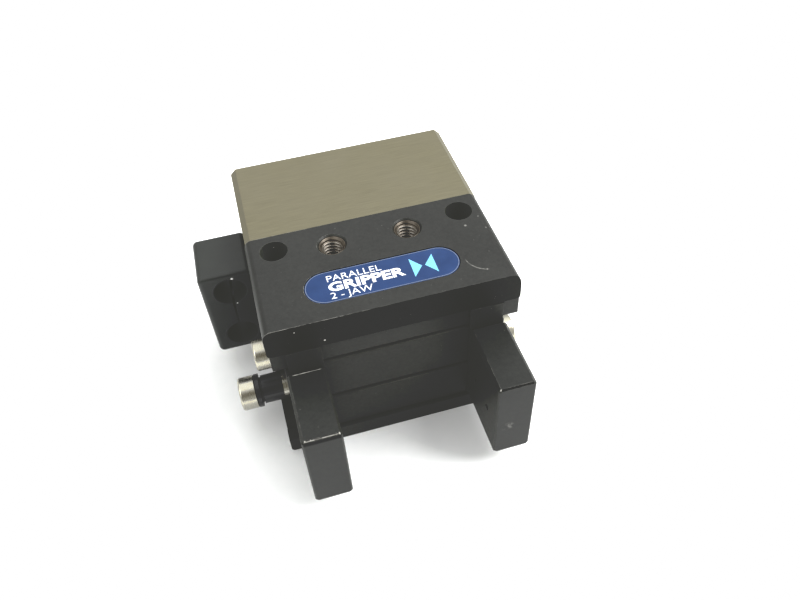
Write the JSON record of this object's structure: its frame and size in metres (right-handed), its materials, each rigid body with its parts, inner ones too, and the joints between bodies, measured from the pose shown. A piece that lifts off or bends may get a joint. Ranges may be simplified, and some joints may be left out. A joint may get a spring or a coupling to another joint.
{
  "type": "pneumatic gripper",
  "caption": "Compact parallel pneumatic gripper: block body with a piston and wedge hook that slides opposed jaws with flat fingers, and a side bracket for sensors.",
  "frame": {"origin": "middle of the flat underside, under the middle of the body", "axes": "+Z out of the labelled large face, X along the jaws' stroke, -Y the way the fingers point, +Y to the rear cover"},
  "size_m": [0.0554, 0.0576, 0.0335],
  "materials": {
    "guide_anodised": "black hard anodised, satin, lightly worn at the edges",
    "jaw_anodised": "black hard anodised, satin",
    "finger_anodised": "black anodised, satin, worn at the edges",
    "cylinder_anodised": "olive grey hard anodised over fine brushing",
    "cover_anodised": "olive grey hard anodised",
    "piston_aluminium": "turned",
    "hardened_steel": "ground",
    "screw_steel": "bright, satin on the head's side",
    "insert_steel": "thread with shiny crests",
    "bracket_black": "satin black with rounded edges",
    "spacer_black": "glossy black",
    "seal_rubber": "matt",
    "label_foil": null
  },
  "bodies": {
    "housing": {"guide_housing": "guide_anodised", "cylinder_housing": "cylinder_anodised", "name_label": "label_foil", "rod_seal": "seal_rubber", "rear_cover": "cover_anodised", "cover_seal": "seal_rubber", "retaining_ring": "hardened_steel", "sensor_bracket": "bracket_black", "bracket_screw_1": "screw_steel", "bracket_screw_2": "screw_steel", "thread_insert_left": "insert_steel", "thread_insert_right": "insert_steel", "housing_screw_1": "screw_steel", "housing_screw_2": "screw_steel", "housing_screw_3": "screw_steel", "housing_screw_4": "screw_steel"},
    "piston_unit": {"piston": "piston_aluminium", "piston_seal": "seal_rubber", "piston_screw": "screw_steel", "wedge_hook": "hardened_steel"},
    "left_jaw_unit": {"jaw_left": "jaw_anodised", "finger_left": "finger_anodised", "finger_screw_left_1": "screw_steel", "finger_screw_left_2": "screw_steel", "end_screw_left": "screw_steel", "end_washer_left": "hardened_steel"},
    "right_jaw_unit": {"jaw_right": "jaw_anodised", "finger_right": "finger_anodised", "finger_screw_right_1": "screw_steel", "finger_screw_right_2": "screw_steel", "end_screw_right": "screw_steel", "cam_washer": "screw_steel", "cam_spacer": "spacer_black", "cam_screw": "screw_steel", "end_washer_right": "hardened_steel"},
    "upper_cage": {"roller_cage_upper": "hardened_steel"},
    "lower_cage": {"roller_cage_lower": "hardened_steel"}
  },
  "joints": [
    {"name": "piston_slide", "type": "slide", "parent": "housing", "child": "piston_unit", "axis": [0, 1, 0], "range_m": [0, 0.005]},
    {"name": "jaw_left_slide", "type": "slide", "parent": "housing", "child": "left_jaw_unit", "axis": [1, 0, 0], "range_m": [0, 0.004]},
    {"name": "jaw_right_slide", "type": "slide", "parent": "housing", "child": "right_jaw_unit", "axis": [-1, 0, 0], "range_m": [0, 0.004]},
    {"name": "roller_cage_upper_slide", "type": "slide", "parent": "housing", "child": "upper_cage", "axis": [1, 0, 0], "range_m": [0, 0.002]},
    {"name": "roller_cage_lower_slide", "type": "slide", "parent": "housing", "child": "lower_cage", "axis": [-1, 0, 0], "range_m": [0, 0.002]}
  ],
  "couplings": [
    {"joint": "jaw_left_slide", "follows": "piston_slide", "ratio": 0.8},
    {"joint": "jaw_right_slide", "follows": "piston_slide", "ratio": 0.8},
    {"joint": "roller_cage_upper_slide", "follows": "piston_slide", "ratio": 0.4},
    {"joint": "roller_cage_lower_slide", "follows": "piston_slide", "ratio": 0.4}
  ]
}
